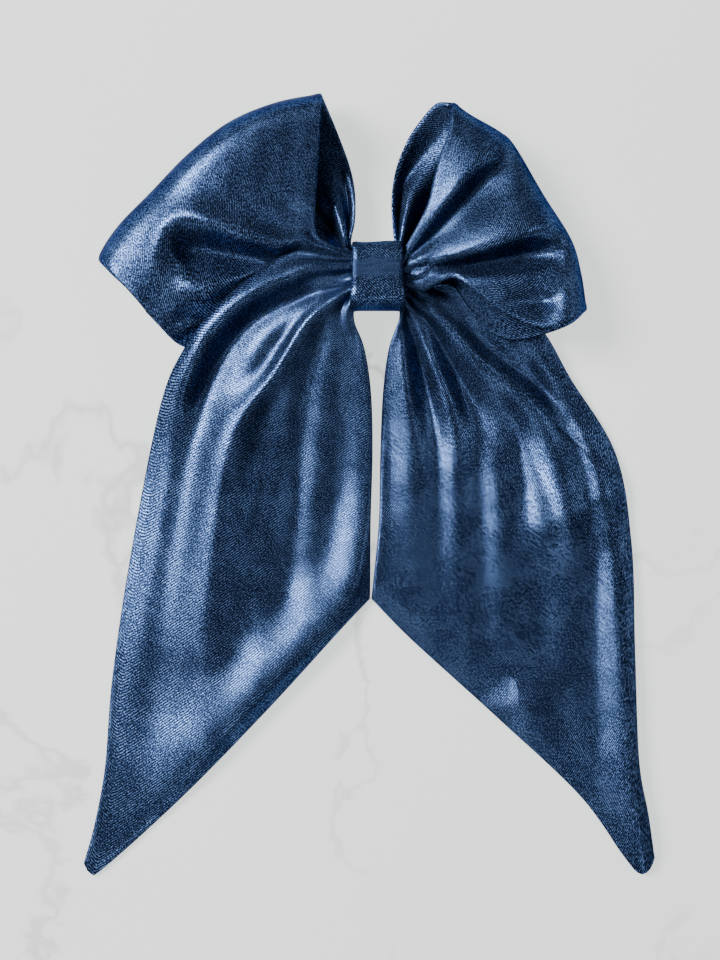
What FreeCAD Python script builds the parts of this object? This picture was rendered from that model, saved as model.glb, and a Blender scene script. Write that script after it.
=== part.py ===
"""Satin hair bow with two loops and two long tails, on an 80 mm spring barrette.

Millimetres. +X is to the right of someone who looks at the front of the bow, +Z is up, and the bow faces -Y.
The origin is the middle of the gap that holds the hair, between the clasp arm and the tension bar.
Depth is counted forward from the back of the bow: depth 0 is the clasp arm's outer face.
"""

import FreeCAD, Part
import math
import os

# --- driving dimensions: the cloth -----------------------------------------------------------------
BACK_Y = 3.4  # y of depth 0
CLOTH = 1.2  # two layers of satin with their turned seams
REACH = 140.0  # further than any cloth edge, for the tools that trim the cloth

KNOT_HALF_WIDTH = 10.0
KNOT_HALF_HEIGHT = 12.7
KNOT_BACK = 8.2
KNOT_FRONT = 25.6
KNOT_CORNER = 5.0
KNOT_CLOTH = 1.1

BUNCH_DEPTH = 17.7
BUNCH_HALF_DEPTH = 6.0
BUNCH_HALF_HEIGHT = 10.9
THREAD = 0.5
THREAD_TURNS = 5
THREAD_PITCH = 1.6

LAP_HALF_WIDTH = KNOT_HALF_WIDTH - 0.4
LAP_HALF_HEIGHT = 6.0
LAP_CLOTH = 0.7
STITCHES = 6
STITCH_RADIUS = 0.28
STITCH_BITE = 1.2  # how far each stitch reaches above and below the lap's edge
STITCH_SLANT = 0.9
STITCH_INSET = 2.0

ROOT_GAP = 0.3
ROOT_X = KNOT_HALF_WIDTH + ROOT_GAP  # where the cloth leaves the knot

# --- driving dimensions: the barrette --------------------------------------------------------------
BASE_HALF_LENGTH = 40.0
BASE_HALF_WIDTH = 4.5
BASE_STEEL = 0.8
BASE_MID = 9.7  # depth of the base's back face at its middle
BASE_RISE = 4.4  # how much nearer the head its ends are
PAD_HALF_LENGTH = 9.4
PAD_FELT = 0.65
TIE_HOLE_X = 23.0
TIE_HOLE_RADIUS = 0.9

PIN_X = -37.5
PIN_DEPTH = 3.2
PIN_RADIUS = 0.8
PIN_CLEARANCE = 0.06
PIN_HEAD = 0.5
PIN_HEAD_RADIUS = 1.4
EAR_INSIDE = 2.9
EAR_STEEL = 0.7
EAR_RADIUS = 2.2
KNUCKLE_RADIUS = 1.9

ARM_HALF_WIDTH = 2.2
ARM_STEEL = 1.0
ARM_FLAT = 31.0  # half the length of its flat middle
ARM_TIP_X = 40.5
ARM_TIP_DEPTH = 2.2
ARM_HEEL = 2.0  # length of the straight end at the hinge
ARM_CRANK = 3.5  # length over which the catch end rises
ARM_LEAN = 0.4
ARM_BEND_RADIUS = 2.0

BAR_HALF_LENGTH = 31.5
BAR_HALF_WIDTH = 1.8
BAR_STEEL = 0.35
BAR_MID = 5.8
BAR_END = 6.5
LUG_X = 30.5
LUG_SIZE = 1.4
LUG_STEEL = 0.6
LUG_GAP = 0.2
LUG_DEPTH = BAR_END - 0.3

CATCH_X = 36.5
CATCH_HALF_LENGTH = 2.0
CATCH_STEEL = 0.5
CATCH_INSIDE = 2.7
TAB_HINGE_DEPTH = 4.75
TAB_GAP = 0.15
TAB_HALF_LENGTH = 1.7
TAB_FLARE_DEPTH = 1.6
TAB_END_DEPTH = 0.4
TAB_FLARE = 1.3
DETENT_DEPTH = 1.75
DETENT_RADIUS = 0.35
DETENT_INSET = 0.4
RIVET_RADIUS = 0.9
RIVET_HEAD_RADIUS = 1.6
RIVET_HEAD = 0.45


# --- small tools -----------------------------------------------------------------------------------
def at(x, depth, z):
    return FreeCAD.Vector(x, BACK_Y - depth, z)


def closed_face(edges):
    return Part.Face(Part.Wire(edges))


def line(start, end):
    return Part.LineSegment(start, end).toShape()


def polygon(corners):
    return closed_face([line(a, b) for a, b in zip(corners, corners[1:] + corners[:1])])


def smooth(points):
    """One spline through the points, or a straight edge if there are only two."""
    if len(points) == 2:
        return line(*points)
    curve = Part.BSplineCurve()
    curve.interpolate(points)
    return curve.toShape()


def block(x_low, x_high, depth_low, depth_high, z_low, z_high):
    corner = at(x_low, depth_high, z_low)
    return Part.makeBox(x_high - x_low, depth_high - depth_low, z_high - z_low, corner)


def rod_y(x, z, radius, depth_low, depth_high):
    return Part.makeCylinder(radius, depth_high - depth_low, at(x, depth_high, z), FreeCAD.Vector(0, 1, 0))


def rod_z(x, depth, radius, z_low, z_high):
    return Part.makeCylinder(radius, z_high - z_low, at(x, depth, z_low), FreeCAD.Vector(0, 0, 1))


# --- the cloth: an outline seen from the front, cut from a slab with a curved section ---------------
def outline_prism(stretches):
    """Everything behind and before an outline. Each stretch lists the (x, z) points of one smooth edge."""
    edges = [smooth([at(x, -REACH, z) for x, z in points]) for points in stretches]
    return closed_face(edges).extrude(FreeCAD.Vector(0, -2 * REACH, 0))


def slab_along(direction, back, front):
    """The space between two curves of depth against distance along a direction in the front plane."""
    ux, uz = direction

    def place(points):
        return [at(distance * ux, depth, distance * uz) for distance, depth in points]

    low, high = place(back), place(front)
    face = closed_face([smooth(low), line(low[-1], high[-1]), smooth(high[::-1]), line(high[0], low[0])])
    across = FreeCAD.Vector(-uz, 0, ux) * (2 * REACH)
    face.translate(across * -0.5)
    return face.extrude(across)


def moved(points, step):
    """The same curve, further forward by step."""
    return [(distance, depth + step) for distance, depth in points]


def clear_of_knot(cloth):
    """The cloth without what would lie within the knot's band."""
    half_height = KNOT_HALF_HEIGHT + ROOT_GAP
    return cloth.cut(block(-ROOT_X, ROOT_X, 0, KNOT_FRONT + ROOT_GAP, -half_height, half_height))


def tail(outline, drape):
    """A flat double layer of cloth that falls along z as the drape says."""
    upwards = (0.0, 1.0)
    cloth = outline_prism(outline).common(slab_along(upwards, drape, moved(drape, CLOTH)))
    return clear_of_knot(cloth)


def loop(outline, hollow_outline, direction, back, front, floor, ceiling):
    """A ribbon loop: a front and a back wall that meet at the outer fold, open along both edges.

    back and front are curves along the loop's own direction. floor and ceiling are curves against z,
    which keep it off the tails that lie behind and before it.
    """
    upwards = (0.0, 1.0)
    outer = outline_prism(outline).common(slab_along(direction, back, front))
    outer = outer.common(slab_along(upwards, floor, ceiling))
    hollow = outline_prism(hollow_outline)
    hollow = hollow.common(slab_along(direction, moved(back, CLOTH), moved(front, -CLOTH)))
    hollow = hollow.common(slab_along(upwards, moved(floor, CLOTH), moved(ceiling, -CLOTH)))
    return clear_of_knot(outer.cut(hollow))


def left_tail():
    outline = [
        [(-ROOT_X, 4.5), (-32, 8.8), (-61, -9), (-84, -57), (-98.5, -130), (-105, -187), (-112.5, -223)],
        [(-112.5, -223), (-109, -228)],
        [(-109, -228), (-68.3, -192), (-25.7, -150), (-2.7, -122)],
        [(-2.7, -122), (-0.9, -88), (-2.2, -46), (-ROOT_X, -10.2)],
        [(-ROOT_X, -10.2), (-ROOT_X, 4.5)],
    ]
    return tail(outline, LEFT_DRAPE)


def right_tail():
    outline = [
        [(ROOT_X, -9.8), (4.6, -28), (2.6, -57), (1, -95), (-1.4, -122)],
        [(-1.4, -122), (43.5, -164), (78, -199), (101, -228)],
        [(101, -228), (106, -225)],
        [(106, -225), (101, -180), (98.5, -122), (92.5, -66), (66, -21), (38, -4), (ROOT_X, 1.5)],
        [(ROOT_X, 1.5), (ROOT_X, -9.8)],
    ]
    return tail(outline, RIGHT_DRAPE)


# Depth of each tail's back face against z, from the tips up to the knot.
LEFT_DRAPE = [(-240, 0.6), (-110, 0.6), (-75, 1.8), (-50, 7), (-30, 13.6), (-10, 19), (12, 20.8)]
RIGHT_DRAPE = [(-240, 0.6), (-120, 0.6), (-60, 0.8), (-42, 2.4), (-25, 7), (-10, 11), (8, 11.2)]


def left_loop():
    outline = [
        [(-ROOT_X, 11), (-8.6, 27), (-10.2, 42.5), (-20.6, 66)],
        [(-20.6, 66), (-47, 59.6), (-70, 44.5), (-95.5, 18), (-102, 6)],
        [(-102, 6), (-90, -8), (-71.7, -27), (-56, -26), (-ROOT_X, -6)],
        [(-ROOT_X, -6), (-ROOT_X, 11)],
    ]
    hollow = [
        [(-14, -50), (-14, 9)],
        [(-14, 9), (-4, 15)],
        [(-4, 15), (-4, 75)],
        [(-4, 75), (-18.6, 64.8)],
        [(-18.6, 64.8), (-46, 58.1), (-69, 43.2), (-94, 17), (-100.4, 6)],
        [(-100.4, 6), (-110, -50)],
        [(-110, -50), (-14, -50)],
    ]
    back = [(0, 13.4), (8, 13), (28, 11.2), (36, 5), (50, 2), (90, 2.6)]
    front = [(0, 19), (8, 22.5), (25, 30), (48, 31), (65, 24), (90, 12)]
    floor = [(-60, 0.6), (90, 0.6)]
    ceiling = [(-60, 3), (-45, 7.2), (-30, 12.5), (-10, 18), (3, 19.2), (8.5, 19.6), (12, 22), (17, 30)]
    ceiling += [(30, 58), (90, 190)]
    return loop(outline, hollow, unit(-0.595, 0.804), back, front, floor, ceiling)


def right_loop():
    outline = [
        [(ROOT_X, 10.5), (5.6, 31), (8.5, 46), (23, 64)],
        [(23, 64), (43, 53), (63, 28.5), (74.6, 5), (77, -14)],
        [(77, -14), (60, -22), (46, -23), (32, -12), (ROOT_X, -3)],
        [(ROOT_X, -3), (ROOT_X, 10.5)],
    ]
    hollow = [
        [(14, -50), (14, 8)],
        [(14, 8), (-2, 14)],
        [(-2, 14), (-2, 75)],
        [(-2, 75), (22, 62.6)],
        [(22, 62.6), (42, 51.6), (61.8, 27.7), (73.2, 5), (75.4, -14)],
        [(75.4, -14), (84, -50)],
        [(84, -50), (14, -50)],
    ]
    back = [(0, 14), (8, 13.8), (20, 13), (37, 10.4), (52, 9), (90, 9)]
    front = [(0, 19), (8, 22.5), (24, 31), (44, 31), (60, 24), (80, 15)]
    floor = [(-60, 2), (-25, 9.6), (-10, 13.2), (10, 13.2), (40, 8), (90, 0)]
    ceiling = [(-60, 60), (90, 60)]
    return loop(outline, hollow, unit(0.822, 0.569), back, front, floor, ceiling)


def unit(x, z):
    length = math.hypot(x, z)
    return x / length, z / length


# --- the knot --------------------------------------------------------------------------------------
def rounded_bar(half_height, depth_low, depth_high, radius, half_width):
    bar = block(-half_width, half_width, depth_low, depth_high, -half_height, half_height)
    along_x = [edge for edge in bar.Edges if edge.BoundBox.XLength > half_width]
    return bar.makeFillet(radius, along_x)


def knot_wrap():
    outer = rounded_bar(KNOT_HALF_HEIGHT, KNOT_BACK, KNOT_FRONT, KNOT_CORNER, KNOT_HALF_WIDTH)
    inner = rounded_bar(
        KNOT_HALF_HEIGHT - KNOT_CLOTH,
        KNOT_BACK + KNOT_CLOTH,
        KNOT_FRONT - KNOT_CLOTH,
        KNOT_CORNER - KNOT_CLOTH,
        KNOT_HALF_WIDTH + 1,
    )
    return outer.cut(inner)


def bunch(grow, x_low, x_high):
    """A length of the gathered cloth, oval in section, larger all round by grow."""
    long_axis = BUNCH_HALF_HEIGHT + grow
    short_axis = BUNCH_HALF_DEPTH + grow
    centre = at(x_low, BUNCH_DEPTH, 0)
    top, rear = FreeCAD.Vector(0, 0, long_axis), FreeCAD.Vector(0, short_axis, 0)
    oval = Part.Ellipse(centre + top, centre + rear, centre)
    return closed_face([oval.toShape()]).extrude(FreeCAD.Vector(x_high - x_low, 0, 0))


def gathered_center():
    return bunch(0, -KNOT_HALF_WIDTH + 0.1, KNOT_HALF_WIDTH - 0.1)


def gathering_thread():
    turns = []
    for turn in range(THREAD_TURNS):
        x = (turn - (THREAD_TURNS - 1) / 2) * THREAD_PITCH
        ring = bunch(THREAD, x - THREAD, x + THREAD).cut(bunch(0, x - 1, x + 1))
        turns.append(ring)
    return Part.makeCompound(turns)


def wrap_lap():
    low, high = KNOT_BACK - LAP_CLOTH, KNOT_BACK
    return block(-LAP_HALF_WIDTH, LAP_HALF_WIDTH, low, high, -LAP_HALF_HEIGHT, LAP_HALF_HEIGHT)


def wrap_stitches():
    """Slanted whip stitches over the lap's upper edge, down into the wrap."""
    stitches = []
    pitch = 2 * (KNOT_HALF_WIDTH - STITCH_INSET) / (STITCHES - 1)
    for i in range(STITCHES):
        x = -KNOT_HALF_WIDTH + STITCH_INSET + i * pitch - STITCH_SLANT / 2
        start = at(x, KNOT_BACK - LAP_CLOTH, LAP_HALF_HEIGHT - STITCH_BITE)
        end = at(x + STITCH_SLANT, KNOT_BACK, LAP_HALF_HEIGHT + STITCH_BITE)
        along = end - start
        stitches.append(Part.makeCylinder(STITCH_RADIUS, along.Length, start, along))
    return Part.makeCompound(stitches)


# --- the barrette ----------------------------------------------------------------------------------
def bowed_strip(half_length, mid_depth, end_depth, steel, half_width):
    """A strip bent to an arc along x. The depths are those of its back face."""

    def bow(more):
        left = at(-half_length, end_depth + more, -half_width)
        right = at(half_length, end_depth + more, -half_width)
        return left, right, Part.Arc(left, at(0, mid_depth + more, -half_width), right).toShape()

    back_left, back_right, back = bow(0)
    front_left, front_right, front = bow(steel)
    face = closed_face([back, line(back_right, front_right), front, line(front_left, back_left)])
    return face.extrude(FreeCAD.Vector(0, 0, 2 * half_width))


def base_arc(offset, steel, half_width):
    """A strip that lies on the base's own arc, from offset behind its back face."""
    return bowed_strip(BASE_HALF_LENGTH, BASE_MID + offset, BASE_MID - BASE_RISE + offset, steel, half_width)


def base_back_depth(x):
    return BASE_MID - BASE_RISE * (x / BASE_HALF_LENGTH) ** 2


def rounded_plan(half_length, half_width, radius):
    """A plan outline with round corners, through the whole depth."""
    plan = block(-half_length, half_length, -2, 14, -half_width, half_width)
    corners = [e for e in plan.Edges if e.BoundBox.YLength > 10]
    return plan.makeFillet(radius, corners)


def barrette_base():
    base = base_arc(0, BASE_STEEL, BASE_HALF_WIDTH)
    base = base.common(rounded_plan(BASE_HALF_LENGTH, BASE_HALF_WIDTH, 3.0))
    root = base_back_depth(PIN_X) + BASE_STEEL / 2
    for z in (EAR_INSIDE, -EAR_INSIDE - EAR_STEEL):
        plate = block(PIN_X - EAR_RADIUS, PIN_X + EAR_RADIUS, PIN_DEPTH, root, z, z + EAR_STEEL)
        base = base.fuse([plate, rod_z(PIN_X, PIN_DEPTH, EAR_RADIUS, z, z + EAR_STEEL)])
    for x in (-LUG_X, LUG_X):
        top = base_back_depth(x) + BASE_STEEL / 2
        for z in (BAR_HALF_WIDTH + LUG_GAP, -BAR_HALF_WIDTH - LUG_GAP - LUG_STEEL):
            lug = block(x - LUG_SIZE / 2, x + LUG_SIZE / 2, LUG_DEPTH, top, z, z + LUG_STEEL)
            base = base.fuse(lug)
    for x in (-TIE_HOLE_X, TIE_HOLE_X):
        base = base.cut(rod_y(x, 0, TIE_HOLE_RADIUS, 4, 14))
    base = base.cut(rod_y(CATCH_X, 0, RIVET_RADIUS, 2, 12))
    return base.cut(rod_z(PIN_X, PIN_DEPTH, PIN_RADIUS, -6, 6))


def felt_pad():
    return base_arc(BASE_STEEL, PAD_FELT, BASE_HALF_WIDTH - 0.4).common(
        block(-PAD_HALF_LENGTH, PAD_HALF_LENGTH, 8, 14, -BASE_HALF_WIDTH, BASE_HALF_WIDTH)
    )


def tension_bar():
    bar = bowed_strip(BAR_HALF_LENGTH, BAR_MID, BAR_END, BAR_STEEL, BAR_HALF_WIDTH)
    return bar.common(rounded_plan(BAR_HALF_LENGTH, BAR_HALF_WIDTH, 1.2))


def hinge_pin():
    outside = EAR_INSIDE + EAR_STEEL
    pin = rod_z(PIN_X, PIN_DEPTH, PIN_RADIUS, -outside, outside)
    for z in (outside, -outside - PIN_HEAD):
        pin = pin.fuse(rod_z(PIN_X, PIN_DEPTH, PIN_HEAD_RADIUS, z, z + PIN_HEAD))
    return pin.removeSplitter()


def clasp_arm():
    """A flat bar, cranked up at one end to the hinge and at the other to the catch."""
    start = PIN_DEPTH - KNUCKLE_RADIUS
    rise = ARM_TIP_DEPTH
    outer = [
        (PIN_X, start),
        (PIN_X + ARM_HEEL, start),
        (-ARM_FLAT, 0),
        (ARM_FLAT, 0),
        (ARM_FLAT + ARM_CRANK, rise),
        (ARM_TIP_X, rise),
    ]
    # The inner corners of the cranks are drawn in, which keeps the bar's thickness even.
    drawn_in = [0, ARM_LEAN, ARM_LEAN, -ARM_LEAN, -ARM_LEAN, 0]
    inner = [(x + lean, depth + ARM_STEEL) for (x, depth), lean in zip(outer, drawn_in)]
    corners = [at(x, depth, -ARM_HALF_WIDTH) for x, depth in outer + inner[::-1]]
    bar = polygon(corners).extrude(FreeCAD.Vector(0, 0, 2 * ARM_HALF_WIDTH))
    across = [edge for edge in bar.Edges if edge.BoundBox.ZLength > ARM_HALF_WIDTH]
    bends = [edge for edge in across if PIN_X + 1 < edge.CenterOfMass.x < ARM_TIP_X - 1]
    bar = bar.makeFillet(ARM_BEND_RADIUS, bends)
    bar = bar.common(rounded_plan(ARM_TIP_X, ARM_HALF_WIDTH, 1.5))
    knuckle = rod_z(PIN_X, PIN_DEPTH, KNUCKLE_RADIUS, -ARM_HALF_WIDTH, ARM_HALF_WIDTH)
    arm = bar.fuse(knuckle).removeSplitter()
    return arm.cut(rod_z(PIN_X, PIN_DEPTH, PIN_RADIUS + PIN_CLEARANCE, -6, 6))


def catch_bracket():
    """A steel saddle under the base's free end, with a short cheek each side that carries a release tab."""
    low, high = CATCH_X - CATCH_HALF_LENGTH, CATCH_X + CATCH_HALF_LENGTH
    outside = CATCH_INSIDE + CATCH_STEEL
    web = base_arc(-CATCH_STEEL, CATCH_STEEL, outside).common(block(low, high, 2, 12, -outside, outside))
    top = base_back_depth(high) - CATCH_STEEL / 2
    cheek_end = TAB_HINGE_DEPTH + CATCH_STEEL / 2 + TAB_GAP
    for z in (CATCH_INSIDE, -outside):
        web = web.fuse(block(low, high, cheek_end, top, z, z + CATCH_STEEL))
    return web.cut(rod_y(CATCH_X, 0, RIVET_RADIUS, 2, 12))


def catch_rivet():
    base_front = base_back_depth(CATCH_X) + BASE_STEEL
    web_back = base_back_depth(CATCH_X) - CATCH_STEEL
    slope = 0.35  # room under the heads for the base's slope at the catch
    rivet = rod_y(CATCH_X, 0, RIVET_RADIUS, web_back - slope, base_front + slope)
    front_head = rod_y(CATCH_X, 0, RIVET_HEAD_RADIUS, base_front + slope, base_front + slope + RIVET_HEAD)
    back_head = rod_y(CATCH_X, 0, RIVET_HEAD_RADIUS, web_back - slope - RIVET_HEAD, web_back - slope)
    return rivet.fuse([front_head, back_head]).removeSplitter()


def release_tab(side):
    """A spring cheek beside the arm's tip, with a round root and a flared end. side is 1 above, -1 below."""
    inside, outside = CATCH_INSIDE, CATCH_INSIDE + CATCH_STEEL
    x_low = CATCH_X - TAB_HALF_LENGTH
    profile = [
        (inside, TAB_HINGE_DEPTH),
        (outside, TAB_HINGE_DEPTH),
        (outside, TAB_FLARE_DEPTH),
        (outside + TAB_FLARE, TAB_END_DEPTH + 0.35),
        (outside + TAB_FLARE - 0.3, TAB_END_DEPTH),
        (inside, TAB_FLARE_DEPTH - 0.35),
    ]
    corners = [at(x_low, depth, side * z) for z, depth in profile]
    along = FreeCAD.Vector(1, 0, 0)
    tab = polygon(corners).extrude(along * 2 * TAB_HALF_LENGTH)
    bend_start = at(x_low, TAB_HINGE_DEPTH, side * (inside + CATCH_STEEL / 2))
    bend = Part.makeCylinder(CATCH_STEEL / 2, 2 * TAB_HALF_LENGTH, bend_start, along)
    detent_start = at(x_low + DETENT_INSET, DETENT_DEPTH, side * inside)
    detent = Part.makeCylinder(DETENT_RADIUS, 2 * (TAB_HALF_LENGTH - DETENT_INSET), detent_start, along)
    return tab.fuse([bend, detent]).removeSplitter()


NODES = {
    "left_loop": left_loop,
    "right_loop": right_loop,
    "left_tail": left_tail,
    "right_tail": right_tail,
    "gathered_center": gathered_center,
    "gathering_thread": gathering_thread,
    "knot_wrap": knot_wrap,
    "wrap_lap": wrap_lap,
    "wrap_stitches": wrap_stitches,
    "felt_pad": felt_pad,
    "barrette_base": barrette_base,
    "tension_bar": tension_bar,
    "hinge_pin": hinge_pin,
    "clasp_arm": clasp_arm,
    "catch_bracket": catch_bracket,
    "catch_rivet": catch_rivet,
    "upper_release_tab": lambda: release_tab(1),
    "lower_release_tab": lambda: release_tab(-1),
}


def main():
    os.makedirs("parts", exist_ok=True)
    for name, make in NODES.items():
        shape = make()
        solids = shape.Solids
        volume = sum(s.Volume for s in solids)
        print(f"{name}: {len(solids)} solids, {volume:.1f} mm3, valid {shape.isValid()}")
        Part.makeCompound(solids).exportStep(f"parts/{name}.step")


main()
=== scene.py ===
import bmesh
import bpy
import math
import numpy as np
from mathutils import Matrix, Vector


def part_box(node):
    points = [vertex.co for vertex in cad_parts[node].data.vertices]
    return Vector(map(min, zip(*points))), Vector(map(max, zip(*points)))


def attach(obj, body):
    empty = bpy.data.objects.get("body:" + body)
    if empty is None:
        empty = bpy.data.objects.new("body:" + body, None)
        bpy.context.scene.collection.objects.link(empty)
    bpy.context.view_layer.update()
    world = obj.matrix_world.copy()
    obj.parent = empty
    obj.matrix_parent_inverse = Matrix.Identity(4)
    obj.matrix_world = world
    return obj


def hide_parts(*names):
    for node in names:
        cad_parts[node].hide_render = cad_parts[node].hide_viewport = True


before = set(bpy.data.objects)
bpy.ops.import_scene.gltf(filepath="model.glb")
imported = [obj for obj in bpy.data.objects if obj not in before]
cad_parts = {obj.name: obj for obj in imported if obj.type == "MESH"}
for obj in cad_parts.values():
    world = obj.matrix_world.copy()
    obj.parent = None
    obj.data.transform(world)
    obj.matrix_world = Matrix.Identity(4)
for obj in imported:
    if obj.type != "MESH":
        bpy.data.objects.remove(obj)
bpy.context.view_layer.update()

# The cloth is laid out in millimetres as it is seen from the front: x to the right, z up, and depth counted
# forward from the back of the bow. Places are given as they look at the knot's own depth.
MM = 0.001
BACK_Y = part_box("clasp_arm")[1][1] / MM
VIEW_X, VIEW_Z = -6.5, -76.0  # the point that the camera faces
VIEW_DISTANCE = 600.0  # from the camera to the back of the bow
LENS = 58.5
KNOT_DEPTH = 22.0
STRIP = 100.0  # width of the ribbon strip
CLOTH = 1.3  # two layers of satin
RIM = 0.8  # roundness of a cloth edge
UV_SCALE = 10.0  # texture units per metre of cloth
CURVE_STEPS = 24  # points between two rows of a smooth curve
CREST_POWER = 1.6  # sharpness of a crest, where a round fold has 2
LOWEST = 0.9  # least depth of a tail's middle, so that its back stays in front of the bow's back
LOOP_LOWEST = 1.4  # the same for the left loop


# --- camera ----------------------------------------------------------------------------------------
def make_camera():
    data = bpy.data.cameras.new("camera")
    data.sensor_fit = "VERTICAL"
    data.sensor_height = 36.0
    data.lens = LENS
    camera = bpy.data.objects.new("camera", data)
    camera.location = Vector((VIEW_X, BACK_Y - VIEW_DISTANCE, VIEW_Z)) * MM
    camera.rotation_euler = (math.radians(90), 0, 0)
    bpy.context.scene.collection.objects.link(camera)
    bpy.context.scene.camera = camera


# --- curves and fields -----------------------------------------------------------------------------
def dense(points, steps=CURVE_STEPS):
    """Rows of any numbers, joined by a smooth curve through every row."""
    p = np.array(points, float)
    p = np.vstack([2 * p[0] - p[1], p, 2 * p[-1] - p[-2]])
    t = np.linspace(0, 1, steps, endpoint=False)[:, None]
    spans = []
    for a, b, c, d in zip(p, p[1:], p[2:], p[3:]):
        square, cube = 2 * a - 5 * b + 4 * c - d, 3 * b - a - 3 * c + d
        spans.append(0.5 * (2 * b + (c - a) * t + square * t**2 + cube * t**3))
    return np.vstack(spans + [p[-2:-1]])


def spline(points, fractions):
    """Points on the smooth curve, at these fractions of its length in the front plane."""
    curve = dense(points)
    length = np.concatenate([[0], np.cumsum(np.hypot(*np.diff(curve[:, :2], axis=0).T))])
    return np.stack([np.interp(fractions * length[-1], length, column) for column in curve.T], axis=-1)


def level(points, t):
    """A smooth height against one number, level beyond both ends."""
    x, y = np.array(points, float).T
    slope = np.gradient(y, x)
    i = np.clip(np.searchsorted(x, t) - 1, 0, len(x) - 2)
    span = x[i + 1] - x[i]
    w = np.clip((t - x[i]) / span, 0, 1)
    ease = w * w * (3 - 2 * w)
    return y[i] + (y[i + 1] - y[i]) * ease + span * w * (1 - w) * ((1 - w) * slope[i] - w * slope[i + 1])


def patch(edge_low, edge_high, root, end, u, v):
    """Plane points for u along and v across a piece that has these four edges."""
    low, high = spline(edge_low, u)[:, None], spline(edge_high, u)[:, None]
    start, finish = spline(root, v)[None], spline(end, v)[None]
    u, v = u[:, None, None], v[None, :, None]
    across = (1 - v) * low + v * high
    along = (1 - u) * start + u * finish
    corners = (1 - u) * ((1 - v) * low[:1] + v * high[:1]) + u * ((1 - v) * low[-1:] + v * high[-1:])
    return across + along - corners


def beside(plane, path):
    """How far each plane point is from a path."""
    curve = spline(path, np.linspace(0, 1, 8 * len(path)))
    flat = plane.reshape(-1, 1, 2)
    a, step = curve[:-1], np.diff(curve, axis=0)
    t = np.clip(((flat - a) * step).sum(-1) / (step**2).sum(-1), 0, 1)
    return np.linalg.norm(flat - a - t[..., None] * step, axis=-1).min(axis=1).reshape(plane.shape[:-1])


def fold(plane, path, power=2.0):
    """Height over the plane of one fold. Each row of its path is x, z, height, left width, right width.

    A power near 1 makes a sharp crest, and 2 a round one. Left and right are seen along the path.
    """
    curve = spline(path, np.linspace(0, 1, 10 * len(path)))
    flat = plane.reshape(-1, 1, 2)
    a, step = curve[:-1, :2], np.diff(curve[:, :2], axis=0)
    t = np.clip(((flat - a) * step).sum(-1) / (step**2).sum(-1), 0, 1)
    away = flat - a - t[..., None] * step
    distance = np.hypot(away[..., 0], away[..., 1])
    nearest = distance.argmin(axis=1)
    rows = np.arange(len(flat))
    t, distance, away = t[rows, nearest], distance[rows, nearest], away[rows, nearest]
    shape = curve[nearest, 2:] + t[:, None] * (curve[nearest + 1, 2:] - curve[nearest, 2:])
    turn = step[nearest, 0] * away[:, 1] - step[nearest, 1] * away[:, 0]
    width = np.where(turn > 0, shape[:, 1], shape[:, 2])
    return (shape[:, 0] * np.exp(-((distance / width) ** power))).reshape(plane.shape[:-1])


def folds(plane, rounded, sharp=()):
    """Height of round folds and sharp crests together."""
    height = sum(fold(plane, path) for path in rounded)
    return height + sum(fold(plane, path, CREST_POWER) for path in sharp)


def soft_max(a, b, softness):
    """The larger of two depths, with a round change from one to the other."""
    return 0.5 * (a + b + np.sqrt((a - b) ** 2 + softness**2))


def placed(plane, depth):
    """World points for plane points at these depths, spread as the camera's perspective undoes."""
    spread = (VIEW_DISTANCE - depth) / (VIEW_DISTANCE - KNOT_DEPTH)
    x = VIEW_X + (plane[..., 0] - VIEW_X) * spread
    z = VIEW_Z + (plane[..., 1] - VIEW_Z) * spread
    return np.stack([x, BACK_Y - depth, z], axis=-1) * MM


def stations(length, step):
    """Fractions along a length, close together near both ends, where the cloth's rim is round."""
    rim = RIM * (1 - np.cos(np.linspace(0, math.pi / 2, 5)[:-1]))
    middle = np.linspace(RIM, length - RIM, max(3, round(length / step)))
    return np.concatenate([rim, middle, length - rim[::-1]]) / length


# --- meshes ----------------------------------------------------------------------------------------
def mesh_object(name, points, faces, face_uvs, material):
    mesh = bpy.data.meshes.new(name)
    mesh.from_pydata([tuple(p) for p in points], [], faces)
    layer = mesh.uv_layers.new(name="flat")
    layer.data.foreach_set("uv", np.array(face_uvs, float).ravel())
    mesh.polygons.foreach_set("use_smooth", [True] * len(faces))
    mesh.materials.append(material)
    mesh.validate()
    piece = bpy.data.objects.new(name, mesh)
    bpy.context.scene.collection.objects.link(piece)
    return piece


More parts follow.
